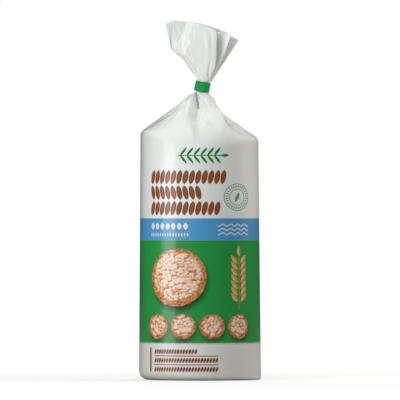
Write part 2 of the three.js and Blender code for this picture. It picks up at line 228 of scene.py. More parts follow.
# The film's grid: the width of a column, the rings under the base, and the rows of each part.
COLUMN_WIDTH = 0.93 * MM
BASE_RINGS = np.array((0.0, 5, 10, 15, 20, 24, 26, 28, 30)) * MM
EDGE_ROWS = 9
BODY_ROWS = 92
CORNER_ROWS = 9
SHOULDER_ROWS = 52
RUFF_ROWS = 53
# How deep in the ruff its lining starts, and how much of the room in a fold the relief and the wall may take.
LINING_DEPTH = 0.16
RELIEF_IN_FOLD = 0.6
WALL_IN_FOLD = 1.1
LEAST_WALL = 0.06
# Flat film in the neck and in the ruff, in millimetres, and the radius that the film is unrolled at.
NECK_ON_FILM = 10
RUFF_ON_FILM = 42
PRINT_RADIUS = 48 * MM


def rim_height(x):
    """Height of the ruff's rim behind, in millimetres, where it is x to the right of the middle."""
    return 285 - 0.207 * x - 0.0059 * x * x


def back_fold(index):
    """A fold behind, evenly spaced from the front's last fold to its first: valleys and ridges by turns."""
    first, last = FRONT_FOLDS[-1], FRONT_FOLDS[0]
    along = (index + 1) / (BACK_FOLDS + 1)
    valley = index % 2 == 0
    turns = {key: getattr(first, key) * (1 - along) + (getattr(last, key) + 360) * along
             for key in ("edge", "middle", "neck", "mouth")}
    x = (first.rim[0] * (1 - along) + last.rim[0] * along) * (0.8 if valley else 0.95)
    depth = BACK_DEPTH * sin(pi * along) ** 0.6 - (BACK_PLEAT * sin(pi * along) ** 0.8 if valley else 0)
    return Fold(lift=-1.9 if valley else 2.1, near=1, path=[], rim=(x, depth, rim_height(x)),
                soft=(0.4, 0.25, 0.1) if valley else (0.25, 0.12, 0.1), **turns)


FOLDS = FRONT_FOLDS + [back_fold(index) for index in range(BACK_FOLDS)]


def fold_at(index):
    """A fold in radians and metres, with its angles carried on past a full turn."""
    own = FOLDS[index % len(FOLDS)]
    turn = 2 * pi * (index // len(FOLDS))
    return Fold(
        *(radians(value) + turn for value in (own.edge, own.middle, own.neck)), own.lift * MM, own.near,
        radians(own.mouth) + turn, np.reshape(own.path, (-1, 3)) * MM, np.array(own.rim) * MM, own.soft,
    )


# Every fold once, with one more before the first and two after the last, so each panel has its neighbours.
RING = [fold_at(index) for index in range(-1, len(FOLDS) + 2)]


def bent_line(points, knots, widths, places):
    """Where a line through points at knots is, at places: straight between knots, rounded within widths."""
    points, knots, places = (np.asarray(values, float) for values in (points, knots, places))
    slopes = np.diff(points, axis=0) / np.diff(knots)[:, None]
    span = np.clip(np.searchsorted(knots, places) - 1, 0, len(slopes) - 1)
    result = points[span] + slopes[span] * (places - knots[span])[:, None]
    for j in range(1, len(slopes)):
        bend = np.maximum(widths[j] - np.abs(places - knots[j]), 0) ** 2 / (4 * widths[j])
        result += (slopes[j] - slopes[j - 1]) * bend[:, None]
    return result


def column_places():
    """Places round the film, a whole number at each fold, closer together near the folds."""
    places = []
    for index in range(len(FOLDS)):
        here, after = fold_at(index), fold_at(index + 1)
        width = max((after.edge - here.edge) * PRINT_RADIUS, dist(here.rim, after.rim))
        count = max(round(width / COLUMN_WIDTH), 9)
        steps = np.arange(count) / count
        places.append(index + 0.45 * steps + 0.55 * (0.5 - 0.5 * np.cos(pi * steps)))
    return np.concatenate(places)


PLACES = column_places()


def across(values, soft):
    """The film between the fold lines at every column. values has a row for each fold of the ring."""
    values = np.broadcast_to(values, (len(RING), len(PLACES), values.shape[-1]))
    slopes = np.diff(values, axis=0)
    column = np.arange(len(PLACES))
    span = np.floor(PLACES).astype(int) + 1
    result = values[span, column] + slopes[span, column] * (PLACES % 1)[:, None]
    for j in range(1, len(RING) - 1):
        width = max(soft[j], 1e-3)
        bend = np.maximum(width - np.abs(PLACES - (j - 1)), 0) ** 2 / (4 * width)
        result += (slopes[j] - slopes[j - 1]) * bend[:, None]
    return result


def polar(angle, radius, z, shift=0.0):
    """Points at an angle round the pack from its front."""
    angle, radius, z, shift = np.broadcast_arrays(angle, radius, z, shift)
    return np.stack((shift + radius * np.sin(angle), -radius * np.cos(angle), z), axis=-1)


def neck_point(angle, half, height, pleat):
    """Points of the gathered neck, a square bundle pleated at each valley, in the band's tilted frame."""
    turned = np.asarray(angle) - BAND_TURN
    square = half / np.maximum(np.abs(np.cos(turned)), np.abs(np.sin(turned)))
    return polar(angle, np.minimum(square, NECK_CORNER * half) - pleat, height) @ NECK_TILT.T + NECK_CENTRE


def neck_pleat(fold):
    return NECK_PLEAT if fold.lift < 0 else 0.0


def edge_height(film, angle):
    return film.stack_height - film.stack_slant * np.sin(angle)


def body_point(film, angle, z):
    along = z / film.stack_height
    radius = film.base_radius + (film.top_radius - film.base_radius) * along
    return polar(angle, radius, z, film.top_shift * along)


def shoulder_length(film):
    return hypot(film.top_radius - film.throat_radius, film.throat_height - film.stack_height) / THROAT_SHARE


def shoulder_point(film, s):
    """The shoulder: from the stack's edge (s = 0) up a cone to the throat and to the neck's root (s = 1)."""
    s = np.broadcast_to(s, PLACES.shape)
    values = [
        np.column_stack((
            bent_line([[f.edge], [f.middle], [f.neck]], [0, 0.5, 1], [0, 0.3, 0], s),
            f.lift * np.maximum(np.sin(pi * s ** f.near), 0) ** 0.8,
        )) for f in RING
    ]
    angle, lift = across(np.array(values), [f.soft[0] for f in RING]).T
    root = neck_point(0.0, 0.0, -film_tape_reach() - NECK_GAP, 0.0)
    ones = np.ones_like(angle)
    edge = np.column_stack((film.top_radius * ones, edge_height(film, angle), film.top_shift * ones))
    throat = np.column_stack((
        film.throat_radius * ones, film.throat_height - THROAT_SLANT * np.sin(angle),
        (film.top_shift * (1 - THROAT_SHARE) + root[0] * THROAT_SHARE) * ones,
    ))
    end = np.column_stack((NECK_ROOT * ones, root[2] * ones, root[0] * ones))
    before = (throat - edge) / THROAT_SHARE
    after = (end - throat) / (1 - THROAT_SHARE)
    along = np.where((s < THROAT_SHARE)[:, None], edge + before * s[:, None],
                     throat + after * (s - THROAT_SHARE)[:, None])
    bend = np.maximum(THROAT_BEND - np.abs(s - THROAT_SHARE), 0) ** 2 / (4 * THROAT_BEND)
    radius, z, shift = (along + (after - before) * bend[:, None]).T
    run, rise = film.top_radius - film.throat_radius, film.throat_height - film.stack_height
    off = lift / hypot(run, rise)
    past = np.clip((s - PUFF_START) / (1 - PUFF_START), 0, 1)
    puff = NECK_PUFF * np.sin(pi * past) ** 1.2 * smooth(np.sin(angle), -0.2, 0.8)
    return polar(angle, radius + off * rise + puff, z + off * run, shift)


def film_tape_reach():
    return bpy.context.scene.pack_tape.height / 2


def ruff_line(fold, t):
    """A fold line of the ruff, from the neck's mouth along its path to the rim (t = 1)."""
    mouth = neck_point(fold.mouth, NECK_MOUTH, film_tape_reach() + NECK_GAP, neck_pleat(fold))
    points = np.vstack((mouth, fold.path, fold.rim))
    reached = np.concatenate(([0], np.cumsum(np.linalg.norm(np.diff(points, axis=0), axis=1))))
    return bent_line(points, reached / reached[-1], [fold.soft[2]] * len(points), np.atleast_1d(t))


def ruff_point(t):
    return across(np.array([ruff_line(f, t) for f in RING]), [f.soft[1] for f in RING])


def neck_row(half, height, twist):
    """A row of the bundle inside the band, which turns from the shoulder's folds to the ruff's."""
    values = np.array([[[f.neck * (1 - twist) + f.mouth * twist, neck_pleat(f)]] for f in RING])
    angle, pleat = across(values, [0.2] * len(RING)).T
    return neck_point(angle, half, height, pleat)


# ---- The film as rows of points from the underside's middle up to the rim and down inside the ruff ----

def smooth(value, low, high):
    along = np.clip((value - low) / (high - low), 0, 1)
    return along * along * (3 - 2 * along)


def crease_push(points):
    """How far the stated creases bring the film forward at points in front, 0 elsewhere."""
    x, y, z = np.moveaxis(points, -1, 0)
    total = np.zeros_like(x)
    for crease in CREASES:
        line = np.array(crease.points) * MM
        share_of = np.zeros_like(x)
        for (x0, z0), (x1, z1) in zip(line, line[1:]):
            run, rise = x1 - x0, z1 - z0
            along = np.clip(((x - x0) * run + (z - z0) * rise) / (run * run + rise * rise), 0, 1)
            away = np.hypot(x - x0 - run * along, z - z0 - rise * along)
            right = (x - x0) * rise - (z - z0) * run > 0
            width = np.where(right == (rise > 0), crease.right, crease.left) * MM
            share_of = np.maximum(share_of, 1 - away / width)
        total += crease.push * MM * share_of
    return total * smooth(-y, 0.0, 3 * MM)


def fold_room(points):
    """How far a row's points can move square to the film before they meet the far side of the next fold."""
    steps = np.linalg.norm(np.roll(points, -1, axis=0) - points, axis=1)
    run = np.concatenate(([0], np.cumsum(steps)[:-1]))
    turns = np.array((-1, 0, 1))[:, None]
    long_places = (PLACES + turns * len(FOLDS)).ravel()
    long_run = (run + turns * steps.sum()).ravel()
    room = np.full(len(run), np.inf)
    for fold in (np.floor(PLACES), np.floor(PLACES) + 1):
        line = np.interp(fold, long_places, long_run)
        away = np.maximum(np.abs(run - line), 0.4 * MM)
        sides = [
            np.column_stack([np.interp(line + side * away, long_run, np.tile(part, 3)) for part in points.T])
            for side in (-1, 1)
        ]
        half = np.linalg.norm(sides[1] - sides[0], axis=1) / 2
        room = np.minimum(room, half / np.sqrt(np.maximum(1 - (half / away) ** 2, 0.0025)))
    return room


Row = namedtuple("Row", "points height slack gather lining")


def film_rows(film, tape):
    """Rows of the film. height is on the flat film, slack is how loose it is and gather how pleated."""
    angle = across(np.array([[[f.edge]] for f in RING]), [0] * len(RING))[:, 0]
    ones = np.ones_like(angle)
    rows = []

    def add(points, height, slack=0.0, gather=0.0, lining=0.0):
        rows.append(Row(points, height * ones, slack * ones, gather * ones, lining))

    edge = film.base_edge - film.base_edge_slant * np.sin(angle)
    foot = film.base_radius - edge
    for radius in BASE_RINGS:
        dish = film.base_dish * (1 - smooth(radius, *BASE_FLAT))
        add(polar(angle, radius, dish), radius - foot)
    for along in (0.35, 0.7):
        radius = BASE_FLAT[1] + (foot - BASE_FLAT[1]) * along
        add(polar(angle, radius, 0.0), (BASE_FLAT[1] - foot) * (1 - along))
    for turn in np.linspace(0, pi / 2, EDGE_ROWS):
        add(polar(angle, foot + edge * sin(turn), edge * (1 - cos(turn))), edge * (1 - cos(turn)))
    reach = SHOULDER_SIDE + (film.shoulder_round - SHOULDER_SIDE) * np.cos(angle) ** 4
    corner_height = edge_height(film, angle)
    for along in np.arange(1, BODY_ROWS) / BODY_ROWS:
        z = edge * (1 - along) + (corner_height - reach) * along
        add(body_point(film, angle, z), z, smooth(z, corner_height - 26 * MM, corner_height) * 0.35)
    below = body_point(film, angle, corner_height - reach)
    corner = body_point(film, angle, corner_height)
    above = shoulder_point(film, reach / shoulder_length(film))
    for along in np.linspace(0, 1, CORNER_ROWS):
        low, high = below + (corner - below) * along, corner + (above - corner) * along
        add(low + (high - low) * along, corner_height + reach * (2 * along - 1), 0.35 + 0.3 * along)
    start = reach / shoulder_length(film)
    for along in np.arange(1, SHOULDER_ROWS + 1) / SHOULDER_ROWS:
        s = start + (1 - start) * along
        away = (1 - s) * shoulder_length(film)
        height = corner_height + s * shoulder_length(film)
        add(shoulder_point(film, s), height, 0.65 + 0.35 * smooth(s, 0, 0.3), np.exp(-away / (11 * MM)))
    inside = tape.side / 2 - BAND_WALL - BAND_CLEARANCE
    neck_height = film.throat_height + NECK_ON_FILM * MM
    for twist in (0.0, 0.5, 1.0):
        height = (tape.height / 2 + BAND_CLEARANCE) * (2 * twist - 1)
        add(neck_row(inside, height, twist), neck_height + height, 0.0, 0.6)
    steps = np.linspace(0, 1, RUFF_ROWS)
    lined = [t for t in steps[::-1] if t >= LINING_DEPTH]
    for t, inner in [(t, 0.0) for t in steps] + [(t, 1.0) for t in lined]:
        run = 2 * RUFF_ON_FILM - RUFF_ON_FILM * t if inner else RUFF_ON_FILM * t
        height = neck_height + (NECK_ON_FILM + run) * MM
        add(ruff_point(t), height, smooth(t, 0.02, 0.3), np.exp(-t * 4.2), inner)
    floor_point = ruff_point(LINING_DEPTH).mean(axis=0)
    add(floor_point * ones[:, None], neck_height + 2 * RUFF_ON_FILM * MM, 0.0, 0.0, 1.0)
    return angle, rows


def outward(grid, linings):
    """Directions square to the film and out of the pack, for every point of its rows."""
    around = np.roll(grid, -1, axis=1) - np.roll(grid, 1, axis=1)
    along = np.gradient(grid, axis=0)
    normal = np.cross(around, along)
    normal[linings] *= -1
    length_of = np.linalg.norm(normal, axis=-1, keepdims=True)
    return np.where(length_of > 1e-15, normal / np.maximum(length_of, 1e-15), (0.0, 0.0, -1.0))


def closed_grid(name, grid):
    """A mesh of rows that run round a shape, its first and last rows drawn together to one point each."""
    rows, columns = grid.shape[:2]
    points = np.vstack((grid[0, :1], grid[1:-1].reshape(-1, 3), grid[-1, :1]))
    ring = np.arange(columns)
    after = (ring + 1) % columns
    start = 1 + np.arange(rows - 3)[:, None] * columns
    quads = np.stack((start + ring, start + after, start + columns + after, start + columns + ring), axis=-1)
    last = len(points) - 1
    fan = np.column_stack((np.zeros_like(ring), 1 + after, 1 + ring))
    cap = np.column_stack((last - columns + ring, last - columns + after, np.full_like(ring, last)))
    mesh = bpy.data.meshes.new(name)
    mesh.from_pydata(points.tolist(), [], fan.tolist() + quads.reshape(-1, 4).tolist() + cap.tolist())
    return mesh


def drawn_together(values):
    """Values of a grid's points in the order of closed_grid's points."""
    return np.concatenate((values[0, :1], values[1:-1].reshape((-1,) + values.shape[2:]), values[-1, :1]))


def store(mesh, name, values):
    """Keeps a number or a vector for every point of a mesh, under a name."""
    kind, field = ("FLOAT", "value") if values.ndim == 1 else ("FLOAT_VECTOR", "vector")
    attribute = mesh.attributes.new(name, kind, "POINT")
    attribute.data.foreach_set(field, np.ascontiguousarray(values, dtype=np.float32).ravel())


def map_film(mesh, angle, height, radius):
    """A UV map in metres of flat film: round from the front, and up. Its seam is under the back seal."""
    count = len(mesh.loops)
    corner = np.empty(count, dtype=np.int32)
    mesh.loops.foreach_get("vertex_index", corner)
    totals = np.empty(len(mesh.polygons), dtype=np.int32)
    mesh.polygons.foreach_get("loop_total", totals)
    face = np.repeat(np.arange(len(totals)), totals)
    turn = angle[corner]
    lowest = np.full(len(totals), np.inf)
    np.minimum.at(lowest, face, turn)
    turn = np.where(turn - lowest[face] > pi, turn - 2 * pi, turn)
    middle = np.bincount(face, weights=turn) / totals
    turn = turn - (2 * pi * np.floor((middle + pi) / (2 * pi)))[face]
    layer = mesh.uv_layers.new(name="film")
    uv = np.column_stack((turn * radius, height[corner]))
    layer.data.foreach_set("uv", uv.astype(np.float32).ravel())


# ---- Node trees: arithmetic, prints and helpers ----

class Term:
    """A number in a node tree. Arithmetic on terms adds the nodes that work it out."""

    def __init__(self, tree, socket):
        self.tree, self.socket = tree, socket

    def math(self, operation, *operands, clamp=False):
        node = self.tree.nodes.new("ShaderNodeMath")
        node.operation = operation
        node.use_clamp = clamp
        for place, operand in zip(node.inputs, operands):
            plug(self.tree, place, operand)
        return Term(self.tree, node.outputs[0])

    def __add__(self, other):
        return self.math("ADD", self, other)

    __radd__ = __add__

    def __sub__(self, other):
        return self.math("SUBTRACT", self, other)

    def __rsub__(self, other):
        return self.math("SUBTRACT", other, self)

    def __mul__(self, other):
        return self.math("MULTIPLY", self, other)

    __rmul__ = __mul__

    def __truediv__(self, other):
        return self.math("DIVIDE", self, other)

    def __rtruediv__(self, other):
        return self.math("DIVIDE", other, self)

    def __mod__(self, other):
        return self.math("FLOORED_MODULO", self, other)

    def __pow__(self, other):
        return self.math("POWER", self, other)

    def __abs__(self):
        return self.math("ABSOLUTE", self)

    def larger(self, other):
        return self.math("MAXIMUM", self, other)

    def smaller(self, other):
        return self.math("MINIMUM", self, other)

    def floor(self):
        return self.math("FLOOR", self)

    def sine(self):
        return self.math("SINE", self)

    def angle(self, other):
        return self.math("ARCTAN2", self, other)

    def hypot(self, other):
        return self.math("SQRT", self.math("MULTIPLY_ADD", self, self, other * other))

    def cover(self, soft=0.16):
        """1 where a distance is below nought, 0 where it is above, with an edge as wide as soft."""
        return self.math("MULTIPLY_ADD", self, -1 / soft, 0.5, clamp=True)

    def step(self, low, high):
        """Rises smoothly from 0 at low to 1 at high."""
        node = self.tree.nodes.new("ShaderNodeMapRange")
        node.interpolation_type = "SMOOTHSTEP"
        plug(self.tree, node.inputs["Value"], self)
        node.inputs["From Min"].default_value = low
        node.inputs["From Max"].default_value = high
        return Term(self.tree, node.outputs["Result"])


def plug(tree, place, value):
    """Links a term or a socket into an input, or sets a plain value there."""
    if isinstance(value, Term):
        tree.links.new(value.socket, place)
    elif isinstance(value, bpy.types.NodeSocket):
        tree.links.new(value, place)
    else:
        place.default_value = value


def node_of(tree, kind, inputs=(), **settings):
    """A new node with its settings and inputs, an input named by its name or its number."""
    node = tree.nodes.new(kind)
    for name, value in settings.items():
        setattr(node, name, value)
    for name, value in dict(inputs).items():
        plug(tree, node.inputs[name], value)
    return node


def noise(tree, vector, scale, detail=2.0, roughness=0.5, **settings):
    node = node_of(tree, "ShaderNodeTexNoise", {"Vector": vector}, **settings)
    node.inputs["Scale"].default_value = scale
    node.inputs["Detail"].default_value = detail
    node.inputs["Roughness"].default_value = roughness
    return Term(tree, node.outputs[0])


def vector_of(tree, x, y, z=0.0):
    return node_of(tree, "ShaderNodeCombineXYZ", {0: x, 1: y, 2: z}).outputs[0]


class Paint:
    """A picture in a material. Each coat lies over what is there already, where its cover is 1."""

    def __init__(self, tree, colour):
        self.tree, self.colour = tree, opaque(colour)

    def coat(self, colour, cover):
        node = self.tree.nodes.new("ShaderNodeMix")
        node.data_type = "RGBA"
        plug(self.tree, node.inputs[0], cover)
        plug(self.tree, node.inputs[6], self.colour)
        plug(self.tree, node.inputs[7], opaque(colour))
        self.colour = node.outputs[2]
        return self


def opaque(colour):
    """A colour with its alpha, or the socket that it is."""
    if isinstance(colour, bpy.types.NodeSocket):
        return colour
    return (*tuple(colour)[:3], 1.0)


def times(colour, factor):
    """A colour made lighter or darker."""
    return tuple(min(part * factor, 1.0) for part in tuple(colour)[:3])


def new_tree(name, inputs):
    """A geometry node tree with a geometry in and out and further inputs, given as name: kind of socket."""
    tree = bpy.data.node_groups.new(name, "GeometryNodeTree")
    tree.is_modifier = True
    tree.interface.new_socket(name="Geometry", in_out="INPUT", socket_type="NodeSocketGeometry")
    for label, kind in inputs.items():
        tree.interface.new_socket(name=label, in_out="INPUT", socket_type=kind)
    tree.interface.new_socket(name="Geometry", in_out="OUTPUT", socket_type="NodeSocketGeometry")
    return tree, tree.nodes.new("NodeGroupInput").outputs


def end_tree(tree, geometry, material):
    """Ends a tree in Realize Instances and Set Material."""
    real = node_of(tree, "GeometryNodeRealizeInstances", {0: geometry})
    painted = node_of(tree, "GeometryNodeSetMaterial", {"Geometry": real.outputs[0], "Material": material})
    tree.links.new(painted.outputs[0], tree.nodes.new("NodeGroupOutput").inputs[0])


def grown(name, mesh, tree, values):
    """An object whose plain mesh is what the tree makes of a mesh, with the tree's inputs set by name."""
    piece = bpy.data.objects.new(name, mesh)
    bpy.context.scene.collection.objects.link(piece)
    modifier = piece.modifiers.new(tree.name, "NODES")
    modifier.node_group = tree
    for item in tree.interface.items_tree:
        if item.item_type == "SOCKET" and item.in_out == "INPUT" and item.name in values:
            modifier[item.identifier] = values[item.name]
    graph = bpy.context.evaluated_depsgraph_get()
    made = bpy.data.meshes.new_from_object(piece.evaluated_get(graph), preserve_all_data_layers=True,
                                           depsgraph=graph)
    piece.modifiers.clear()
    piece.data = made
    bpy.data.meshes.remove(mesh)
    made.name = name
    made.shade_smooth()
    return piece


def finished(piece, node):
    """Ties a finished piece to the frame."""
    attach(piece, BODY)
    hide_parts(node)
    return piece


def points_of(mesh):
    points = np.empty(len(mesh.vertices) * 3)
    mesh.vertices.foreach_get("co", points)
    return points.reshape(-1, 3)


def set_points(mesh, points):
    mesh.vertices.foreach_set("co", np.ascontiguousarray(points).ravel())
    mesh.update()


# ---- Geometry node trees ----

def attribute_of(tree, name, kind="FLOAT"):
    return node_of(tree, "GeometryNodeInputNamedAttribute", {"Name": name}, data_type=kind).outputs[0]


def relief_tree():
    """Gives the film its ribs, small creases and pleats, and the ruff its wall."""
    tree, inputs = new_tree("Film Relief", {
        "Wall": "NodeSocketFloat", "Rib Pitch": "NodeSocketFloat", "Rib Depth": "NodeSocketFloat",
        "Crumple Depth": "NodeSocketFloat", "Pleat Depth": "NodeSocketFloat", "Pleat Count": "NodeSocketInt",
        "Material": "NodeSocketMaterial",
    })
    slack = Term(tree, attribute_of(tree, "slack"))
    gather = Term(tree, attribute_of(tree, "gather"))
    lining = Term(tree, attribute_of(tree, "lining"))
    turn = Term(tree, attribute_of(tree, "turn"))
    crease = attribute_of(tree, "crease", "FLOAT_VECTOR")
    place = node_of(tree, "GeometryNodeInputPosition").outputs[0]
    height = Term(tree, node_of(tree, "ShaderNodeSeparateXYZ", {0: place}).outputs[2])
    wave = abs((height * pi / Term(tree, inputs["Rib Pitch"])).sine())
    ribs = (1 - wave) ** 3.0 * (1 - slack * 3).larger(0.0) * Term(tree, inputs["Rib Depth"]) * -1
    soft = noise(tree, crease, 0.38, 0.0) - 0.5
    lines = 1 - abs(noise(tree, crease, 0.5, 0.0, noise_dimensions="4D") - 0.5) * 9
    bent = node_of(tree, "ShaderNodeVectorMath", {0: crease, 1: (1.0, 1.0, 0.7)},
                   operation="MULTIPLY").outputs[0]
    facets = Term(tree, node_of(tree, "ShaderNodeTexVoronoi", {"Vector": bent, "Scale": 0.62},
                                feature="DISTANCE_TO_EDGE").outputs[0])
    crumple = soft * 2.0 + lines.larger(0.0) * 0.4 - facets.smaller(0.3) * 2.4 + 0.3
    creases = crumple * slack * Term(tree, inputs["Crumple Depth"])
    warp = noise(tree, crease, 0.5, 0.0) * 3
    folds = abs((turn * Term(tree, inputs["Pleat Count"]) * 0.5 + warp).sine()) ** 0.7 - 0.6
    pleats = folds * gather * Term(tree, inputs["Pleat Depth"])
    out = ribs + creases + pleats - lining * Term(tree, inputs["Wall"])
    push = node_of(tree, "ShaderNodeVectorMath", {0: attribute_of(tree, "outward", "FLOAT_VECTOR")},
                   operation="SCALE")
    plug(tree, push.inputs["Scale"], out)
    moved = node_of(tree, "GeometryNodeSetPosition", {
        "Geometry": inputs["Geometry"], "Offset": push.outputs[0],
    })
    end_tree(tree, moved.outputs[0], inputs["Material"])
    return tree


def strip_tree():
    """A flat strip pressed into fine lines: X is its width, Z its length, and it stands out along +Y."""
    tree, inputs = new_tree("Crimped Strip", {
        "Width": "NodeSocketFloat", "Length": "NodeSocketFloat", "Thickness": "NodeSocketFloat",
        "Crimp Pitch": "NodeSocketFloat", "Crimp Depth": "NodeSocketFloat", "Rows": "NodeSocketInt",
        "Material": "NodeSocketMaterial",
    })
    size = vector_of(tree, inputs["Width"], inputs["Thickness"], inputs["Length"])
    block = node_of(tree, "GeometryNodeMeshCube", {"Size": size, "Vertices X": 16, "Vertices Y": 2,
                                                   "Vertices Z": inputs["Rows"]})
    place = node_of(tree, "GeometryNodeInputPosition").outputs[0]
    x, y, z = (Term(tree, socket) for socket in node_of(tree, "ShaderNodeSeparateXYZ", {0: place}).outputs)
    pressed = (z * (2 * pi) / Term(tree, inputs["Crimp Pitch"])).sine() * Term(tree, inputs["Crimp Depth"])
    half = Term(tree, inputs["Width"]) * 0.5
    middle = 1 - (abs(x) / half) ** 8.0
    drift = (noise(tree, place, 24.0, 1.0) - 0.5) * 0.0022
    edge = (x / half).step(0.55, 1.0) * drift * 0.8
    moved = node_of(tree, "GeometryNodeSetPosition", {
        "Geometry": block.outputs[0], "Offset": vector_of(tree, drift * 0.35, pressed * middle + edge, 0.0),
    })
    end_tree(tree, moved.outputs[0], inputs["Material"])
    return tree


def tape_tree():
    """Tape laid along a path, standing on its edge, with a slight unevenness."""
    tree, inputs = new_tree("Wound Tape", {
        "Height": "NodeSocketFloat", "Thickness": "NodeSocketFloat", "Material": "NodeSocketMaterial",
    })
    line = node_of(tree, "GeometryNodeMeshToCurve", {0: inputs["Geometry"]}).outputs[0]
    upright = node_of(tree, "GeometryNodeSetCurveNormal", {"Curve": line})
    if "Mode" in upright.inputs:
        upright.inputs["Mode"].default_value = "Z Up"
    else:
        upright.mode = "Z_UP"
    section = node_of(tree, "GeometryNodeCurvePrimitiveQuadrilateral", {
        "Width": inputs["Thickness"], "Height": inputs["Height"],
    })
    finer = node_of(tree, "GeometryNodeSubdivideCurve", {0: section.outputs[0], "Cuts": 7})
    swept = node_of(tree, "GeometryNodeCurveToMesh", {
        "Curve": upright.outputs[0], "Profile Curve": finer.outputs[0], "Fill Caps": True,
    })
    place = node_of(tree, "GeometryNodeInputPosition").outputs[0]
    uneven = node_of(tree, "ShaderNodeTexNoise", {"Vector": place, "Scale": 420.0, "Detail": 1.0})
    centred = node_of(tree, "ShaderNodeVectorMath", {0: uneven.outputs[1], 1: (0.5, 0.5, 0.5)},
                      operation="SUBTRACT").outputs[0]
    small = node_of(tree, "ShaderNodeVectorMath", {0: centred, 1: (0.0001, 0.0001, 0.0004)},
                    operation="MULTIPLY").outputs[0]
    moved = node_of(tree, "GeometryNodeSetPosition", {"Geometry": swept.outputs[0], "Offset": small})
    end_tree(tree, moved.outputs[0], inputs["Material"])
    return tree


# ---- The print, in millimetres of flat film ----

Flat = namedtuple("Flat", "u v")
# Fields of colour: the top of the foot and of the green, and the blue band's middle and half its width.
FOOT_TOP = 28.9
GREEN_TOP = 111.5
BLUE_BAND = (120.25, 8.75)
# Each cake: centre, half axes, tilt, how far its face is shifted, how its grains lie, how toasted it is, and
# how far its shadow is shifted.
CAKE_PRINT = (
    ((-19.0, 82.0), (24.5, 23.0), radians(8), (-0.6, 1.4), radians(20), -0.06, (1.5, -3.5)),
    ((-37.0, 43.0), (10.2, 9.8), radians(0), (0.0, 0.7), radians(-30), 0.02, (0.8, -2.0)),
    ((-13.5, 43.0), (10.2, 9.8), radians(0), (0.0, 0.7), radians(15), -0.04, (0.8, -2.0)),
    ((10.0, 43.0), (10.2, 9.8), radians(0), (0.0, 0.7), radians(60), 0.04, (0.8, -2.0)),
    ((33.5, 43.0), (10.2, 9.8), radians(0), (0.0, 0.7), radians(-10), 0.0, (0.8, -2.0)),
)
CAKE_RIM = 0.11
# The spray: the foot and the tip of its stalk, how many pairs of grains it carries, and a grain's half size.
SPRAY = ((34.0, 57.0), (34.0, 100.5), 7)
SPRAY_GRAIN = (4.6, 1.7)
# Rows of large grains: left end, number of grains, height of the middle, lean.
TITLE_ROWS = ((-45.2, 13, 161.8, 0.2), (-45.2, 9, 149.5, -0.2), (-45.2, 12, 137.0, 0.2))
TITLE_PITCH = 5.2
# Waves on the blue band: middle, half size and the height from one to the next.
WAVES = ((30.0, 120.2), (15.0, 4.9))
WAVE_PITCH = 3.4
# The sprig: the left end, number and pitch of its leaves, and the heights of its upper leaves, stem and lower
# leaves.
SPRIG = (-16.0, 6, 5.6)
SPRIG_HEIGHTS = (182.2, 179.1, 176.0)
# The badge: its centre, and half the size of its outer ring, its ticks and its inner ring.
BADGE = (32.8, 145.8)
BADGE_RINGS = ((12.4, 10.6), (10.0, 8.6), (7.4, 6.4))
BADGE_TICKS = 28
# Rows of marks at the foot, as height and number, and the heights of the rules between them.
FOOT_ROWS = ((23.0, 16), (16.1, 23), (8.9, 23))
FOOT_RULES = (19.6, 12.6)


def turned(flat, centre, tilt):
    """Coordinates from a centre, turned by a tilt."""
    across_u, up_v = flat.u - centre[0], flat.v - centre[1]
    along = across_u * cos(tilt) + up_v * sin(tilt)
    aside = up_v * cos(tilt) - across_u * sin(tilt)
    return along, aside


def oval(flat, centre, half, tilt=0.0):
    """Distance from an oval's edge, below nought inside it."""
    along, aside = turned(flat, centre, tilt)
    return ((along / half[0]).hypot(aside / half[1]) - 1) * min(half)


def box(flat, centre, half):
    return (abs(flat.u - centre[0]) - half[0]).larger(abs(flat.v - centre[1]) - half[1])


def grain(flat, centre, half, tilt):
    """Distance from a grain, pointed at both ends: half its length and half its width."""
    along, aside = turned(flat, centre, tilt)
    return abs(aside) - (1 - (along / half[0]) ** 2.0) * half[1]


def grain_row(flat, left, count, pitch, middle, half, lean, full=2.0):
    """Distance from a row of upright grains that lean to the right. A greater full makes them blunter."""
    along = (flat.u - left) / pitch
    index = along.floor()
    up = flat.v - middle
    aside = (along - index - 0.5) * pitch - up * lean
    shape = abs(aside) - (1 - abs(up / half[1]) ** full) * half[0]
    return shape.larger(abs(along - count / 2) * pitch - count * pitch / 2)


def nearest(distances):
    """The least of several distances."""
    least = distances[0]
    for distance in distances[1:]:
        least = least.smaller(distance)
    return least


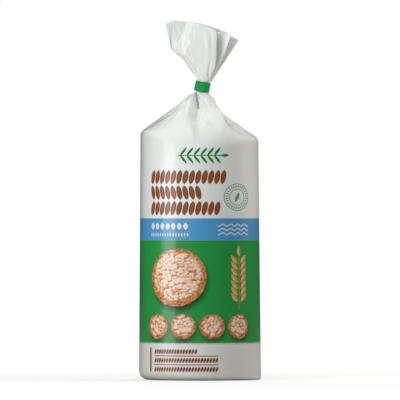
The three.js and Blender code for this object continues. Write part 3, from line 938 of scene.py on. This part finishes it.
def film_picture(tree, colours):
    """The film's print: fields of colour, flat puffed cakes, a spray and rows of grains."""
    flat_film = node_of(tree, "ShaderNodeUVMap", uv_map="film").outputs[0]
    parts = node_of(tree, "ShaderNodeSeparateXYZ", {0: flat_film}).outputs
    flat = Flat(Term(tree, parts[0]) * 1000, Term(tree, parts[1]) * 1000)
    # Painted light: from the upper shoulder up, the film is painted a lighter white that stands for light
    # shining through the thin film.
    picture = Paint(tree, colours.film).coat(colours.lit_white, flat.v.step(205.0, 236.0))

    torn = noise(tree, vector_of(tree, flat.u, 0.0), 0.33, 3.0, 0.6) * 2.0 + FOOT_TOP
    picture.coat(colours.foot, (flat.v - torn).cover(0.2))
    picture.coat(times(colours.foot, 0.62), (abs(flat.v - torn + 0.5) - 0.5).cover(0.7) * 0.7)
    picture.coat(colours.green, (torn - flat.v).larger(flat.v - GREEN_TOP).cover(0.2))
    picture.coat(colours.blue, (abs(flat.v - BLUE_BAND[0]) - BLUE_BAND[1]).cover(0.2))

    crystals = grain_row(flat, -45.2, 7, 5.2, 122.7, (1.9, 2.9), 0.0)
    picture.coat(colours.film, crystals.cover() * 0.9)
    dashes = grain_row(flat, -45.2, 15, 2.45, 116.0, (0.7, 1.6), 0.0)
    picture.coat(colours.film, dashes.cover() * 0.75)
    rise = (flat.u * 0.9).sine() * 0.8
    waved = abs(((flat.v + rise - WAVES[0][1]) / WAVE_PITCH + 0.5) % 1.0 - 0.5) * WAVE_PITCH - 0.45
    picture.coat(colours.film, waved.larger(box(flat, *WAVES)).cover() * 0.85)

    paint_cakes(tree, flat, picture, colours)
    paint_spray(flat, picture, colours)

    streak = noise(tree, vector_of(tree, flat.u * 2.4, flat.v * 0.25), 1.0, 2.0)
    ink = Paint(tree, colours.brown).coat(times(colours.brown, 2.2), (streak - 0.5) * 1.4)
    rows = [grain_row(flat, left, count, TITLE_PITCH, middle, (2.4, 5.8), lean, 3.0)
            for left, count, middle, lean in TITLE_ROWS]
    picture.coat(ink.colour, nearest(rows).cover())

    high, middle, low = SPRIG_HEIGHTS
    leaves = [grain_row(flat, *SPRIG, height, (1.35, 3.7), lean)
              for height, lean in ((high, 0.75), (low, -0.75))]
    stem = box(flat, (0.8, middle), (18.2, 0.38))
    picture.coat(colours.leaf, nearest([*leaves, stem, grain(flat, (21.4, middle), (3.8, 1.3), 0.0)]).cover())

    outer, ticked, inner = BADGE_RINGS
    spoke = ((flat.v - BADGE[1]) / outer[1]).angle((flat.u - BADGE[0]) / outer[0])
    ticks = abs((spoke * (BADGE_TICKS / (2 * pi)) % 1.0) - 0.5) * 2.0 - 0.45
    badge = [
        abs(oval(flat, BADGE, outer)) - 0.32, abs(oval(flat, BADGE, inner)) - 0.28,
        grain(flat, BADGE, (4.6, 1.6), radians(58)), ticks.larger(abs(oval(flat, BADGE, ticked)) - 1.0),
    ]
    picture.coat(colours.leaf, nearest(badge).cover() * 0.85)

    rules = [box(flat, (-44.8, 16.4), (1.0, 9.6))]
    rules += [box(flat, (-12.8, height), (27.4, 0.36)) for height in FOOT_RULES]
    rules += [grain_row(flat, -40.2, count, 2.38, height, (1.05, 2.1), 0.3, 3.0)
              for height, count in FOOT_ROWS]
    picture.coat(colours.brown, nearest(rules).cover())
    return picture.colour


def puffs(tree, along, aside, size, toasted, light, middle, gap):
    """Puffed grains packed side by side, lightest at their upper left and darkest where they meet."""
    warp = noise(tree, vector_of(tree, along, aside), 0.3, 1.0) * 1.6
    across_cell, up_cell = along / size[0] + warp, aside / size[1] - warp
    cell = node_of(tree, "ShaderNodeTexVoronoi", {
        "Vector": vector_of(tree, across_cell, up_cell), "Scale": 1.0, "Randomness": 0.9,
    }, voronoi_dimensions="2D").outputs
    chance = Term(tree, node_of(tree, "ShaderNodeSeparateXYZ", {0: cell[1]}).outputs[0])
    seat = node_of(tree, "ShaderNodeSeparateXYZ", {0: cell[2]}).outputs
    lit = (across_cell - Term(tree, seat[0])) * 0.25 - (up_cell - Term(tree, seat[1])) * 0.45
    merged = noise(tree, vector_of(tree, across_cell, up_cell), 0.75, 1.0) - 0.5
    depth = Term(tree, cell[0]) + lit + toasted * 0.8 + (chance - 0.5) * 0.5 + merged * 0.9
    return Paint(tree, light).coat(middle, depth.step(0.1, 0.72)).coat(gap, depth.step(0.56, 1.1))


def paint_cakes(tree, flat, picture, colours):
    """One large puffed cake and a row of small ones seen flat, each with its shadow on the green."""
    spot = vector_of(tree, flat.u, flat.v)
    ragged = noise(tree, spot, 0.55, 2.0) * 2.4 - 1.2
    mottle = noise(tree, spot, 0.16, 3.0, 0.7) - 0.5
    specks = noise(tree, spot, 0.42, 2.0, 0.6).step(0.52, 0.66)
    on_green = (abs(flat.v - 70.5) - 40.5).cover(0.6)
    for centre, half, tilt, *_, drop in CAKE_PRINT:
        shade = oval(flat, (centre[0] + drop[0], centre[1] + drop[1]), half, tilt)
        picture.coat((0.001, 0.03, 0.004), shade.cover(5.0) * on_green * 0.85)
    for centre, half, tilt, lean, lay, toasting, _ in CAKE_PRINT[::-1]:
        whole = oval(flat, centre, half, tilt) + ragged
        inset = CAKE_RIM * half[0]
        face_centre = (centre[0] + lean[0], centre[1] + lean[1])
        face = oval(flat, face_centre, (half[0] - inset, half[1] - inset), tilt) + ragged * 1.3
        along, aside = turned(flat, centre, lay)
        rim = face.step(-1.8, 1.2)
        toasted = mottle * 1.3 + rim * 0.3 + toasting
        cake = puffs(tree, along, aside, (3.7, 2.5), toasted, colours.cream, colours.tan, colours.toast)
        cake.coat((0.69, 0.19, 0.02), rim * (mottle * 0.8 + 0.8).smaller(0.95))
        cake.coat((0.50, 0.22, 0.085), turned(flat, centre, tilt)[0].step(-15.0, 45.0) * 0.35)
        cake.coat(colours.toast, (abs(face + 0.5) - 0.6).cover(2.0) * (ragged + 0.4).smaller(0.8).larger(0.0))
        cake.coat(times(colours.toast, 0.4), specks * (rim * 0.9 + mottle.larger(0.0)))
        picture.coat(cake.colour, whole.cover(0.3))


def paint_spray(flat, picture, colours):
    """An upright spray of husked grains, in pairs up a thin stalk with one grain at its tip."""
    (foot_u, foot_v), (_, tip_v), pairs = SPRAY
    stalk = box(flat, (foot_u, (foot_v + tip_v) / 2), (0.35, (tip_v - foot_v) / 2))
    picture.coat(times(colours.tan, 0.7), stalk.cover())
    pitch = (tip_v - foot_v - 8.0) / pairs
    places = [(foot_u, tip_v + 2.5, pi / 2)]
    for index in range(pairs):
        middle = foot_v + 9.0 + index * pitch
        places += [(foot_u + side * SPRAY_GRAIN[0], middle, pi / 2 - side * 0.75) for side in (-1, 1)]
    for u, v, tilt in places:
        shape = grain(flat, (u, v), SPRAY_GRAIN, tilt)
        aside = turned(flat, (u, v), tilt)[1]
        husk = Paint(flat.u.tree, colours.tan).coat(colours.cream, aside.step(-0.2, 1.5) * 0.55)
        picture.coat(husk.colour, shape.cover(0.25))


# ---- Materials ----

def new_material(name, colour, roughness):
    material = bpy.data.materials.new(name)
    material.use_nodes = True
    tree = material.node_tree
    shader = tree.nodes["Principled BSDF"]
    shader.inputs["Roughness"].default_value = roughness
    shader.inputs["Base Color"].default_value = opaque(colour)
    material.diffuse_color = opaque(colour)
    return material, tree, shader


def add_bump(tree, shader, height, distance, strength=1.0):
    bump = node_of(tree, "ShaderNodeBump", {"Height": height, "Distance": distance, "Strength": strength})
    tree.links.new(bump.outputs[0], shader.inputs["Normal"])


def film_material(colours):
    """Printed satin film with a faint crumple."""
    material, tree, shader = new_material("printed_film", colours.film, 0.31)
    place = node_of(tree, "ShaderNodeTexCoord").outputs["Object"]
    tree.links.new(film_picture(tree, colours), shader.inputs["Base Color"])
    ripple = noise(tree, place, 90.0, 3.0, 0.6)
    patch = noise(tree, place, 28.0, 2.0)
    shader.inputs["Specular IOR Level"].default_value = 0.8
    shader.inputs["Coat Weight"].default_value = 0.6
    shader.inputs["Coat Roughness"].default_value = 0.2
    plug(tree, shader.inputs["Roughness"], patch * 0.1 + 0.17)
    add_bump(tree, shader, ripple, 0.0006, 0.35)
    return material


def seal_material(colours):
    """Film pressed together in a seal, duller than the rest."""
    material, tree, shader = new_material("pressed_film", colours.film, 0.5)
    flat_place = node_of(tree, "ShaderNodeTexCoord").outputs["Object"]
    parts = node_of(tree, "ShaderNodeSeparateXYZ", {0: flat_place}).outputs
    v = Term(tree, parts[2]) * 1000
    picture = Paint(tree, colours.film)
    seal_foot = FOOT_TOP + 1.0
    picture.coat(colours.foot, (v - seal_foot).cover(0.3))
    picture.coat(colours.green, (seal_foot - v).larger(v - GREEN_TOP).cover(0.3))
    picture.coat(colours.blue, (abs(v - BLUE_BAND[0]) - BLUE_BAND[1]).cover(0.3))
    tree.links.new(picture.colour, shader.inputs["Base Color"])
    dull = noise(tree, flat_place, 160.0, 3.0, 0.6)
    plug(tree, shader.inputs["Roughness"], dull * 0.2 + 0.4)
    add_bump(tree, shader, dull, 0.0003, 0.4)
    return material


def tape_material(colours):
    """Satin tape with faint wrinkles across it."""
    material, tree, shader = new_material("green_tape", colours.tape, 0.42)
    place = node_of(tree, "ShaderNodeTexCoord").outputs["Object"]
    cloudy = noise(tree, place, 300.0, 2.0)
    wrinkle = noise(tree, node_of(tree, "ShaderNodeMapping", {"Vector": place, "Scale": (1.0, 1.0, 0.25)})
                    .outputs[0], 520.0, 2.0)
    tape = Paint(tree, colours.tape).coat(times(colours.tape, 0.7), (cloudy - 0.4).step(0.0, 0.4) * 0.5)
    tree.links.new(tape.colour, shader.inputs["Base Color"])
    shader.inputs["Specular IOR Level"].default_value = 0.25
    plug(tree, shader.inputs["Roughness"], cloudy * 0.2 + 0.4)
    add_bump(tree, shader, wrinkle, 0.0003, 0.5)
    return material


def floor_material():
    """Pale floor, shaded near the pack and even white further off. It throws little light on the pack."""
    material, tree, shader = new_material("pale_floor", (0.9, 0.9, 0.9), 0.9)
    place = node_of(tree, "ShaderNodeTexCoord").outputs["Object"]
    parts = node_of(tree, "ShaderNodeSeparateXYZ", {0: place}).outputs
    pale = Paint(tree, (0.90, 0.90, 0.90)).coat((0.87, 0.87, 0.87), noise(tree, place, 3.0, 2.0))
    shader.inputs["Specular IOR Level"].default_value = 0.0
    tree.links.new(pale.colour, shader.inputs["Base Color"])
    white = node_of(tree, "ShaderNodeEmission", {"Color": (1, 1, 1, 1), "Strength": 1.0})
    far = Term(tree, parts[0]).hypot(Term(tree, parts[1])).step(0.04, 0.42) * 0.45 + 0.55
    seen = node_of(tree, "ShaderNodeMixShader", {0: far, 1: shader.outputs[0], 2: white.outputs[0]})
    dull = node_of(tree, "ShaderNodeBsdfDiffuse", {"Color": (0.35, 0.35, 0.35, 1)})
    rays = node_of(tree, "ShaderNodeLightPath")
    either = node_of(tree, "ShaderNodeMixShader", {0: rays.outputs["Is Camera Ray"], 1: dull.outputs[0],
                                                   2: seen.outputs[0]})
    tree.links.new(either.outputs[0], tree.nodes["Material Output"].inputs[0])
    return material


# ---- Operators ----

def lining_like_ruff(around, height, linings):
    """Gives the ruff's lining the creases of its outer face, row for row from the rim down."""
    outer = np.flatnonzero(~linings)
    inner = np.flatnonzero(linings)
    for step, row in enumerate(inner):
        around[row] = around[outer[-1 - min(step, len(outer) - 1)]]
    return around


class PACK_OT_film(Operator):
    """Builds the film: base, body, shoulder, neck and ruff, printed, creased and pleated."""
    bl_idname = "pack.film"
    bl_label = "Film"

    def execute(self, context):
        scene = context.scene
        film = scene.pack_film
        angle, rows = film_rows(film, scene.pack_tape)
        grid = np.array([row.points for row in rows])
        linings = np.array([row.lining for row in rows]) > 0
        normal = outward(grid, linings)
        room = np.array([fold_room(row.points) for row in rows]) / MM
        push = crease_push(grid)
        loose = np.minimum(room * RELIEF_IN_FOLD, 1) * (1 - smooth(np.abs(push), 1 * MM, 3 * MM))
        wall = linings[:, None] * np.clip(room * WALL_IN_FOLD, LEAST_WALL, 1)
        grid = grid - push[..., None] * (0, 1, 0)
        mesh = closed_grid("film_skin", grid)
        full = np.broadcast_to(angle, grid.shape[:2])
        height = np.array([row.height for row in rows])
        around = np.array([np.cos(full) * 6.4, np.sin(full) * 6.4, height / (9 * MM)])
        store(mesh, "slack", drawn_together(np.array([row.slack for row in rows]) * loose))
        store(mesh, "gather", drawn_together(np.array([row.gather for row in rows]) * loose))
        store(mesh, "lining", drawn_together(wall))
        store(mesh, "turn", drawn_together(full))
        store(mesh, "crease", drawn_together(lining_like_ruff(np.moveaxis(around, 0, -1), height, linings)))
        store(mesh, "outward", drawn_together(normal))
        map_film(mesh, drawn_together(full), drawn_together(height), PRINT_RADIUS)
        piece = grown("film_skin", mesh, relief_tree(), {
            "Wall": film.wall, "Rib Pitch": film.rib_pitch, "Rib Depth": film.rib_depth,
            "Crumple Depth": film.crumple_depth, "Pleat Depth": film.pleat_depth,
            "Pleat Count": film.pleat_count, "Material": film_material(scene.pack_colours),
        })
        finished(piece, "film_bag")
        return {"FINISHED"}


class PACK_OT_seals(Operator):
    """Builds the pressed seals down the back and under the base."""
    bl_idname = "pack.seals"
    bl_label = "Seals"

    def execute(self, context):
        scene = context.scene
        film, seals = scene.pack_film, scene.pack_seals
        tree = strip_tree()
        material = seal_material(scene.pack_colours)
        common = {"Thickness": 2 * seals.thickness, "Crimp Pitch": seals.crimp_pitch,
                  "Crimp Depth": seals.crimp_depth, "Material": material}
        tall = seals.high_end - seals.low_end
        back = grown("back_seal", bpy.data.meshes.new("back_seal"), tree,
                     {"Width": seals.width, "Length": tall, "Rows": 480, **common})
        x, y, z = points_of(back.data).T
        z = z + (seals.low_end + seals.high_end) / 2
        along = z / film.stack_height
        radius = film.base_radius + (film.top_radius - film.base_radius) * along
        set_points(back.data, polar(pi - x / radius, radius + y, z, film.top_shift * along))
        finished(back, "film_bag")
        under = grown("base_seal", bpy.data.meshes.new("base_seal"), tree,
                      {"Width": seals.base_width, "Length": seals.base_length, "Rows": 120, **common})
        x, y, z = points_of(under.data).T
        set_points(under.data, np.column_stack((z, x, film.base_dish - y)))
        finished(under, "film_bag")
        return {"FINISHED"}


class PACK_OT_tape(Operator):
    """Winds the tape round the neck, with its end lapped over at the back."""
    bl_idname = "pack.tape"
    bl_label = "Tape"

    def execute(self, context):
        scene = context.scene
        tape = scene.pack_tape
        path = tape_path(tape)
        mesh = bpy.data.meshes.new("tape_path")
        mesh.from_pydata(path.tolist(), [(i, i + 1) for i in range(len(path) - 1)], [])
        piece = grown("neck_tape", mesh, tape_tree(), {
            "Height": tape.height, "Thickness": tape.thickness, "Material": tape_material(scene.pack_colours),
        })
        turn = np.array(Matrix.Rotation(BAND_TURN, 3, "Z"))
        set_points(piece.data, points_of(piece.data) @ (NECK_TILT @ turn).T + NECK_CENTRE)
        finished(piece, "neck_band")
        return {"FINISHED"}


def tape_path(tape):
    """The tape's path, once round a square with rounded corners and on over its own start at the back."""
    half = tape.side / 2 - tape.thickness / 2
    flat = half - tape.corner
    corners = ((-1, 1, 90), (-1, -1, 180), (1, -1, 270), (1, 1, 0))
    turn = [
        (flat * a + tape.corner * cos(angle), flat * b + tape.corner * sin(angle))
        for a, b, start in corners for angle in np.radians(np.linspace(start, start + 90, 7))
    ]
    loop = np.array([(tape.lap / 2, half), *turn, (-tape.lap / 2, half)])
    path = [loop[0]]
    for here, after in zip(loop, loop[1:]):
        count = max(int(dist(here, after) / TAPE_STEP), 1)
        path += [here + (after - here) * (step + 1) / count for step in range(count)]
    path = np.array(path)
    run = np.concatenate(([0], np.cumsum(np.linalg.norm(np.diff(path, axis=0), axis=1))))
    away = run[-1] - run
    rise = (1 - smooth(away, tape.lap, tape.lap + LAP_RAMP)) * (tape.thickness + LAP_GAP)
    normal = path / np.linalg.norm(path, axis=1, keepdims=True)
    sideways = np.abs(path[:, :1]) > np.abs(path[:, 1:])
    square_out = np.sign(path) * np.where(sideways, (1, 0), (0, 1))
    path = path + (0.2 * normal + 0.8 * square_out) * rise[:, None]
    return np.column_stack((path, np.zeros(len(path))))


FLOOR_REACH = 6.0
FLOOR_DROP = 0.2 * MM
CAMERA_HEIGHT = 0.1436
# Soft lights: the setting with its power, degrees round from the front and up, distance, size, the height it
# aims at, whether the film mirrors it, and the setting with its colour unless it is white.
Lamp = namedtuple("Lamp", "name turn rise away size aim mirrored tint", defaults=(None,))
LIGHTS = (
    Lamp("near", -35, 0, 0.3, (0.2, 0.56), 0.235, False),
    Lamp("edge", 100, 0, 0.38, (0.2, 0.42), 0.28, False, "edge_tint"),
    Lamp("sheen", -61.5, 0, 2.2, (1.1, 0.8), 0.24, True),
    Lamp("front", -17, 50, 1.7, (1.2, 1.2), 0.2, False),
    Lamp("low", -25, -4, 1.3, (0.6, 0.4), 0.15, False),
    Lamp("top", 0, 89, 1.6, (0.8, 0.8), 0.2, False),
    Lamp("back", 170, 22, 1.8, (1.4, 1.2), 0.15, False),
)


def add_light(lamp, stage):
    """A soft rectangular light, unseen itself, that faces a height on the pack's axis."""
    light = bpy.data.lights.new(lamp.name + "_light", "AREA")
    light.shape = "RECTANGLE"
    light.size, light.size_y = lamp.size
    light.energy = getattr(stage, lamp.name)
    if lamp.tint:
        light.color = getattr(stage, lamp.tint)
    turn, rise = radians(lamp.turn), radians(lamp.rise)
    towards = Vector((cos(rise) * sin(turn), -cos(rise) * cos(turn), sin(rise)))
    holder = bpy.data.objects.new(lamp.name + "_light", light)
    holder.location = towards * lamp.away + Vector((0.0, 0.0, lamp.aim))
    holder.rotation_euler = (-towards).to_track_quat("-Z", "Y").to_euler()
    holder.visible_camera = False
    holder.visible_glossy = lamp.mirrored
    bpy.context.scene.collection.objects.link(holder)


def surroundings(scene, ambient):
    """White to the camera, and a dimmer even light on everything else."""
    world = bpy.data.worlds.new("surroundings")
    world.use_nodes = True
    scene.world = world
    tree = world.node_tree
    tree.nodes.clear()
    seen = node_of(tree, "ShaderNodeBackground", {"Color": (1, 1, 1, 1), "Strength": 1.0})
    felt = node_of(tree, "ShaderNodeBackground", {"Color": (0.97, 0.98, 1, 1), "Strength": ambient})
    rays = node_of(tree, "ShaderNodeLightPath")
    either = node_of(tree, "ShaderNodeMixShader", {0: rays.outputs["Is Camera Ray"], 1: felt.outputs[0],
                                                   2: seen.outputs[0]})
    tree.links.new(either.outputs[0], tree.nodes.new("ShaderNodeOutputWorld").inputs[0])


class PACK_OT_stage(Operator):
    """Sets up the floor, the lights, the surroundings and the camera."""
    bl_idname = "pack.stage"
    bl_label = "Stage"

    def execute(self, context):
        scene = context.scene
        stage = scene.pack_stage
        scene.view_settings.view_transform = "Standard"
        mesh = bpy.data.meshes.new("floor")
        corners = ((-1, -1), (1, -1), (1, 1), (-1, 1))
        mesh.from_pydata([(x * FLOOR_REACH, y * FLOOR_REACH, -FLOOR_DROP) for x, y in corners], [],
                         [(0, 1, 2, 3)])
        mesh.materials.append(floor_material())
        floor = bpy.data.objects.new("floor", mesh)
        scene.collection.objects.link(floor)
        for lamp in LIGHTS:
            add_light(lamp, stage)
        surroundings(scene, stage.ambient)
        camera = bpy.data.cameras.new("camera")
        camera.lens = stage.lens
        camera.sensor_width = 36.0
        camera.clip_end = 100.0
        holder = bpy.data.objects.new("camera", camera)
        holder.location = (0.0, -stage.camera_distance, CAMERA_HEIGHT)
        holder.rotation_euler = (pi / 2, 0.0, 0.0)
        scene.collection.objects.link(holder)
        scene.camera = holder
        return {"FINISHED"}


class PACK_PT_sidebar(Panel):
    """Lists the pack's pieces and their sizes and colours."""
    bl_idname = "PACK_PT_sidebar"
    bl_label = "Rice Cake Pack"
    bl_space_type = "VIEW_3D"
    bl_region_type = "UI"
    bl_category = "Pack"

    def draw(self, context):
        for operator, group in STEPS:
            self.layout.operator(operator.bl_idname)
            settings = getattr(context.scene, group)
            for name in settings.__annotations__:
                self.layout.prop(settings, name)
        for name in PackColours.__annotations__:
            self.layout.prop(context.scene.pack_colours, name)


STEPS = ((PACK_OT_film, "pack_film"), (PACK_OT_seals, "pack_seals"), (PACK_OT_tape, "pack_tape"),
         (PACK_OT_stage, "pack_stage"))
GROUPS = {"pack_film": PackFilm, "pack_seals": PackSeals, "pack_tape": PackTape, "pack_colours": PackColours,
          "pack_stage": PackStage}
CLASSES = (*GROUPS.values(), *(operator for operator, _ in STEPS), PACK_PT_sidebar)


def register():
    for cls in CLASSES:
        bpy.utils.register_class(cls)
    for name, group in GROUPS.items():
        setattr(bpy.types.Scene, name, PointerProperty(type=group))


def unregister():
    for name in GROUPS:
        delattr(bpy.types.Scene, name)
    for cls in reversed(CLASSES):
        bpy.utils.unregister_class(cls)


def main():
    register()
    bpy.ops.pack.film()
    bpy.ops.pack.seals()
    bpy.ops.pack.tape()
    bpy.ops.pack.stage()


if __name__ == "__main__":
    main()
